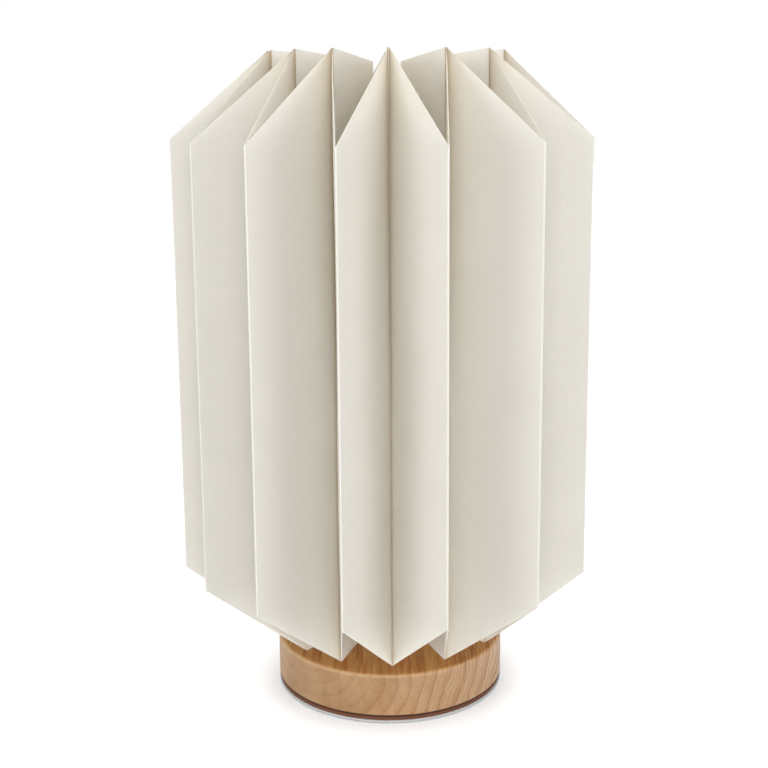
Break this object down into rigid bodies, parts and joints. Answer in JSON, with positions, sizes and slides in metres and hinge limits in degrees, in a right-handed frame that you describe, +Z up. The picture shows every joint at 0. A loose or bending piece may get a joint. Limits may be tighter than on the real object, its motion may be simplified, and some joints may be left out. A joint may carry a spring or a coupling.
{
  "type": "folding table lamp",
  "caption": "Table lamp with a pleated paper shade that fans open round a light tube on a round wooden base and folds to a wedge.",
  "frame": {"origin": "on the table under the lamp's axis, in the middle of the grip pad's lower face", "axes": "+Z up along the light tube, -Y towards the front, the charging socket at +Y"},
  "size_m": [0.1583, 0.1558, 0.252],
  "materials": {
    "wood": "satin oiled",
    "paper": "matt stiff paper",
    "cover_plastic": "matt",
    "screw_steel": "zinc plated",
    "pad_brown": "matt",
    "grip_clear": "satin",
    "flange_metal": "turned",
    "nut_brass": "plain",
    "frosted": "frosted",
    "strip_metal": "white coated",
    "chip": "glossy",
    "cell": "foil",
    "board": "solder mask",
    "socket_steel": "plain",
    "switch_plastic": "matt",
    "button_plastic": "matt",
    "ring_steel": "plain",
    "magnet": "nickel plated"
  },
  "bodies": {
    "base": {"wood_base": "wood", "base_cover": "cover_plastic", "cover_screws": "screw_steel", "foot_pad": "pad_brown", "nonslip_pad": "grip_clear", "core_flange": "flange_metal", "core_nut": "nut_brass", "light_tube": "frosted", "tube_cap": "frosted", "led_strip": "strip_metal", "led_chips": "chip", "battery_cell": "cell", "control_board": "board", "usb_socket": "socket_steel", "tact_switch": "switch_plastic"},
    "shade": {"leaf_00": "paper", "seam_magnets_first": "magnet", "binding_rings": "ring_steel"},
    "button": {"switch_button": "button_plastic"},
    "leaf_01": {"leaf_01": "paper"},
    "leaf_02": {"leaf_02": "paper"},
    "leaf_03": {"leaf_03": "paper"},
    "leaf_04": {"leaf_04": "paper"},
    "leaf_05": {"leaf_05": "paper"},
    "leaf_06": {"leaf_06": "paper"},
    "leaf_07": {"leaf_07": "paper"},
    "leaf_08": {"leaf_08": "paper"},
    "leaf_09": {"leaf_09": "paper"},
    "leaf_10": {"leaf_10": "paper"},
    "leaf_11": {"leaf_11": "paper"},
    "leaf_12": {"leaf_12": "paper"},
    "shade_end": {"leaf_13": "paper", "seam_magnets_last": "magnet"},
    "pleat_01_left": {"pleat_01_left": "paper"},
    "pleat_01_right": {"pleat_01_right": "paper"},
    "pleat_02_left": {"pleat_02_left": "paper"},
    "pleat_02_right": {"pleat_02_right": "paper"},
    "pleat_03_left": {"pleat_03_left": "paper"},
    "pleat_03_right": {"pleat_03_right": "paper"},
    "pleat_04_left": {"pleat_04_left": "paper"},
    "pleat_04_right": {"pleat_04_right": "paper"},
    "pleat_05_left": {"pleat_05_left": "paper"},
    "pleat_05_right": {"pleat_05_right": "paper"},
    "pleat_06_left": {"pleat_06_left": "paper"},
    "pleat_06_right": {"pleat_06_right": "paper"},
    "pleat_07_left": {"pleat_07_left": "paper"},
    "pleat_07_right": {"pleat_07_right": "paper"},
    "pleat_08_left": {"pleat_08_left": "paper"},
    "pleat_08_right": {"pleat_08_right": "paper"},
    "pleat_09_left": {"pleat_09_left": "paper"},
    "pleat_09_right": {"pleat_09_right": "paper"},
    "pleat_10_left": {"pleat_10_left": "paper"},
    "pleat_10_right": {"pleat_10_right": "paper"},
    "pleat_11_left": {"pleat_11_left": "paper"},
    "pleat_11_right": {"pleat_11_right": "paper"},
    "pleat_12_left": {"pleat_12_left": "paper"},
    "pleat_12_right": {"pleat_12_right": "paper"},
    "pleat_13_left": {"pleat_13_left": "paper"},
    "pleat_13_right": {"pleat_13_right": "paper"}
  },
  "joints": [
    {"name": "shade_lift", "type": "slide", "parent": "base", "child": "shade", "axis": [0, 0, 1], "range_m": [0, 0.132]},
    {"name": "button_press", "type": "slide", "parent": "base", "child": "button", "axis": [0, -1, 0], "range_m": [0, 0.0006], "stiffness_N_per_m": 1500, "springref_m": -0.0005},
    {"name": "leaf_01_turn", "type": "hinge", "parent": "shade", "child": "leaf_01", "pos_m": [0, 0, 0.0228], "axis": [0, 0, 1], "range_deg": [-25.39, 0]},
    {"name": "leaf_02_turn", "type": "hinge", "parent": "shade", "child": "leaf_02", "pos_m": [0, 0, 0.0228], "axis": [0, 0, 1], "range_deg": [-51.78, 0]},
    {"name": "leaf_03_turn", "type": "hinge", "parent": "shade", "child": "leaf_03", "pos_m": [0, 0, 0.0228], "axis": [0, 0, 1], "range_deg": [-80.16, 0]},
    {"name": "leaf_04_turn", "type": "hinge", "parent": "shade", "child": "leaf_04", "pos_m": [0, 0, 0.0228], "axis": [0, 0, 1], "range_deg": [-89.55, 0]},
    {"name": "leaf_05_turn", "type": "hinge", "parent": "shade", "child": "leaf_05", "pos_m": [0, 0, 0.0228], "axis": [0, 0, 1], "range_deg": [-109.93, 0]},
    {"name": "leaf_06_turn", "type": "hinge", "parent": "shade", "child": "leaf_06", "pos_m": [0, 0, 0.0228], "axis": [0, 0, 1], "range_deg": [-127.32, 0]},
    {"name": "leaf_07_turn", "type": "hinge", "parent": "shade", "child": "leaf_07", "pos_m": [0, 0, 0.0228], "axis": [0, 0, 1], "range_deg": [-148.7, 0]},
    {"name": "leaf_08_turn", "type": "hinge", "parent": "shade", "child": "leaf_08", "pos_m": [0, 0, 0.0228], "axis": [0, 0, 1], "range_deg": [-171.09, 0]},
    {"name": "leaf_09_turn", "type": "hinge", "parent": "shade", "child": "leaf_09", "pos_m": [0, 0, 0.0228], "axis": [0, 0, 1], "range_deg": [-195.47, 0]},
    {"name": "leaf_10_turn", "type": "hinge", "parent": "shade", "child": "leaf_10", "pos_m": [0, 0, 0.0228], "axis": [0, 0, 1], "range_deg": [-220.86, 0]},
    {"name": "leaf_11_turn", "type": "hinge", "parent": "shade", "child": "leaf_11", "pos_m": [0, 0, 0.0228], "axis": [0, 0, 1], "range_deg": [-247.24, 0]},
    {"name": "leaf_12_turn", "type": "hinge", "parent": "shade", "child": "leaf_12", "pos_m": [0, 0, 0.0228], "axis": [0, 0, 1], "range_deg": [-274.63, 0]},
    {"name": "shade_fold", "type": "hinge", "parent": "shade", "child": "shade_end", "pos_m": [0, 0, 0.0228], "axis": [0, 0, 1], "range_deg": [-300, 0]},
    {"name": "pleat_01_left_crease", "type": "hinge", "parent": "shade", "child": "pleat_01_left", "pos_m": [-0.0004, 0.045, 0.0228], "axis": [0, 0, 1], "range_deg": [-28.01, 0]},
    {"name": "pleat_01_right_crease", "type": "hinge", "parent": "leaf_01", "child": "pleat_01_right", "pos_m": [-0.02215, 0.03917, 0.0228], "axis": [0, 0, 1], "range_deg": [0, 28.01]},
    {"name": "pleat_02_left_crease", "type": "hinge", "parent": "leaf_01", "child": "pleat_02_left", "pos_m": [-0.02285, 0.03877, 0.0228], "axis": [0, 0, 1], "range_deg": [-29.12, 0]},
    {"name": "pleat_02_right_crease", "type": "hinge", "parent": "leaf_02", "child": "pleat_02_right", "pos_m": [-0.03916, 0.02217, 0.0228], "axis": [0, 0, 1], "range_deg": [0, 29.12]},
    {"name": "pleat_03_left_crease", "type": "hinge", "parent": "leaf_02", "child": "pleat_03_left", "pos_m": [-0.03955, 0.02147, 0.0228], "axis": [0, 0, 1], "range_deg": [-31.34, 0]},
    {"name": "pleat_03_right_crease", "type": "hinge", "parent": "leaf_03", "child": "pleat_03_right", "pos_m": [-0.04492, -0.00274, 0.0228], "axis": [0, 0, 1], "range_deg": [0, 31.34]},
    {"name": "pleat_04_left_crease", "type": "hinge", "parent": "leaf_03", "child": "pleat_04_left", "pos_m": [-0.04486, -0.00354, 0.0228], "axis": [0, 0, 1], "range_deg": [-10.34, 0]},
    {"name": "pleat_04_right_crease", "type": "hinge", "parent": "leaf_04", "child": "pleat_04_right", "pos_m": [-0.04292, -0.01353, 0.0228], "axis": [0, 0, 1], "range_deg": [0, 10.34]},
    {"name": "pleat_05_left_crease", "type": "hinge", "parent": "leaf_04", "child": "pleat_05_left", "pos_m": [-0.04267, -0.01429, 0.0228], "axis": [0, 0, 1], "range_deg": [-22.48, 0]},
    {"name": "pleat_05_right_crease", "type": "hinge", "parent": "leaf_05", "child": "pleat_05_right", "pos_m": [-0.03318, -0.0304, 0.0228], "axis": [0, 0, 1], "range_deg": [0, 22.48]},
    {"name": "pleat_06_left_crease", "type": "hinge", "parent": "leaf_05", "child": "pleat_06_left", "pos_m": [-0.03264, -0.03098, 0.0228], "axis": [0, 0, 1], "range_deg": [-19.16, 0]},
    {"name": "pleat_06_right_crease", "type": "hinge", "parent": "leaf_06", "child": "pleat_06_right", "pos_m": [-0.01938, -0.04061, 0.0228], "axis": [0, 0, 1], "range_deg": [0, 19.16]},
    {"name": "pleat_07_left_crease", "type": "hinge", "parent": "leaf_06", "child": "pleat_07_left", "pos_m": [-0.01866, -0.04095, 0.0228], "axis": [0, 0, 1], "range_deg": [-23.58, 0]},
    {"name": "pleat_07_right_crease", "type": "hinge", "parent": "leaf_07", "child": "pleat_07_right", "pos_m": [0.00039, -0.045, 0.0228], "axis": [0, 0, 1], "range_deg": [0, 23.58]},
    {"name": "pleat_08_left_crease", "type": "hinge", "parent": "leaf_07", "child": "pleat_08_left", "pos_m": [0.00119, -0.04499, 0.0228], "axis": [0, 0, 1], "range_deg": [-24.69, 0]},
    {"name": "pleat_08_right_crease", "type": "hinge", "parent": "leaf_08", "child": "pleat_08_right", "pos_m": [0.02077, -0.03992, 0.0228], "axis": [0, 0, 1], "range_deg": [0, 24.69]},
    {"name": "pleat_09_left_crease", "type": "hinge", "parent": "leaf_08", "child": "pleat_09_left", "pos_m": [0.02148, -0.03954, 0.0228], "axis": [0, 0, 1], "range_deg": [-26.91, 0]},
    {"name": "pleat_09_right_crease", "type": "hinge", "parent": "leaf_09", "child": "pleat_09_right", "pos_m": [0.03752, -0.02484, 0.0228], "axis": [0, 0, 1], "range_deg": [0, 26.91]},
    {"name": "pleat_10_left_crease", "type": "hinge", "parent": "leaf_09", "child": "pleat_10_left", "pos_m": [0.03796, -0.02417, 0.0228], "axis": [0, 0, 1], "range_deg": [-28.01, 0]},
    {"name": "pleat_10_right_crease", "type": "hinge", "parent": "leaf_10", "child": "pleat_10_right", "pos_m": [0.04492, -0.00275, 0.0228], "axis": [0, 0, 1], "range_deg": [0, 28.01]},
    {"name": "pleat_11_left_crease", "type": "hinge", "parent": "leaf_10", "child": "pleat_11_left", "pos_m": [0.04496, -0.00196, 0.0228], "axis": [0, 0, 1], "range_deg": [-29.12, 0]},
    {"name": "pleat_11_right_crease", "type": "hinge", "parent": "leaf_11", "child": "pleat_11_right", "pos_m": [0.03992, 0.02077, 0.0228], "axis": [0, 0, 1], "range_deg": [0, 29.12]},
    {"name": "pleat_12_left_crease", "type": "hinge", "parent": "leaf_11", "child": "pleat_12_left", "pos_m": [0.03954, 0.02148, 0.0228], "axis": [0, 0, 1], "range_deg": [-30.23, 0]},
    {"name": "pleat_12_right_crease", "type": "hinge", "parent": "leaf_12", "child": "pleat_12_right", "pos_m": [0.02285, 0.03877, 0.0228], "axis": [0, 0, 1], "range_deg": [0, 30.23]},
    {"name": "pleat_13_left_crease", "type": "hinge", "parent": "leaf_12", "child": "pleat_13_left", "pos_m": [0.02215, 0.03917, 0.0228], "axis": [0, 0, 1], "range_deg": [-28.01, 0]},
    {"name": "pleat_13_right_crease", "type": "hinge", "parent": "shade_end", "child": "pleat_13_right", "pos_m": [0.0004, 0.045, 0.0228], "axis": [0, 0, 1], "range_deg": [0, 28.01]}
  ],
  "couplings": [
    {"joint": "leaf_01_turn", "follows": "shade_fold", "ratio": 0.084615},
    {"joint": "leaf_02_turn", "follows": "shade_fold", "ratio": 0.17256},
    {"joint": "leaf_03_turn", "follows": "shade_fold", "ratio": 0.26718},
    {"joint": "leaf_04_turn", "follows": "shade_fold", "ratio": 0.29846},
    {"joint": "leaf_05_turn", "follows": "shade_fold", "ratio": 0.36641},
    {"joint": "leaf_06_turn", "follows": "shade_fold", "ratio": 0.42436},
    {"joint": "leaf_07_turn", "follows": "shade_fold", "ratio": 0.49564},
    {"joint": "leaf_08_turn", "follows": "shade_fold", "ratio": 0.57026},
    {"joint": "leaf_09_turn", "follows": "shade_fold", "ratio": 0.65154},
    {"joint": "leaf_10_turn", "follows": "shade_fold", "ratio": 0.73615},
    {"joint": "leaf_11_turn", "follows": "shade_fold", "ratio": 0.8241},
    {"joint": "leaf_12_turn", "follows": "shade_fold", "ratio": 0.91538},
    {"joint": "pleat_01_left_crease", "follows": "shade_fold", "ratio": 0.093349},
    {"joint": "pleat_01_right_crease", "follows": "shade_fold", "ratio": -0.093349},
    {"joint": "pleat_02_left_crease", "follows": "shade_fold", "ratio": 0.097046},
    {"joint": "pleat_02_right_crease", "follows": "shade_fold", "ratio": -0.097046},
    {"joint": "pleat_03_left_crease", "follows": "shade_fold", "ratio": 0.10445},
    {"joint": "pleat_03_right_crease", "follows": "shade_fold", "ratio": -0.10445},
    {"joint": "pleat_04_left_crease", "follows": "shade_fold", "ratio": 0.034433},
    {"joint": "pleat_04_right_crease", "follows": "shade_fold", "ratio": -0.034433},
    {"joint": "pleat_05_left_crease", "follows": "shade_fold", "ratio": 0.074895},
    {"joint": "pleat_05_right_crease", "follows": "shade_fold", "ratio": -0.074895},
    {"joint": "pleat_06_left_crease", "follows": "shade_fold", "ratio": 0.063844},
    {"joint": "pleat_06_right_crease", "follows": "shade_fold", "ratio": -0.063844},
    {"joint": "pleat_07_left_crease", "follows": "shade_fold", "ratio": 0.078582},
    {"joint": "pleat_07_right_crease", "follows": "shade_fold", "ratio": -0.078582},
    {"joint": "pleat_08_left_crease", "follows": "shade_fold", "ratio": 0.082271},
    {"joint": "pleat_08_right_crease", "follows": "shade_fold", "ratio": -0.082271},
    {"joint": "pleat_09_left_crease", "follows": "shade_fold", "ratio": 0.089654},
    {"joint": "pleat_09_right_crease", "follows": "shade_fold", "ratio": -0.089654},
    {"joint": "pleat_10_left_crease", "follows": "shade_fold", "ratio": 0.093349},
    {"joint": "pleat_10_right_crease", "follows": "shade_fold", "ratio": -0.093349},
    {"joint": "pleat_11_left_crease", "follows": "shade_fold", "ratio": 0.097046},
    {"joint": "pleat_11_right_crease", "follows": "shade_fold", "ratio": -0.097046},
    {"joint": "pleat_12_left_crease", "follows": "shade_fold", "ratio": 0.10075},
    {"joint": "pleat_12_right_crease", "follows": "shade_fold", "ratio": -0.10075},
    {"joint": "pleat_13_left_crease", "follows": "shade_fold", "ratio": 0.093349},
    {"joint": "pleat_13_right_crease", "follows": "shade_fold", "ratio": -0.093349}
  ]
}
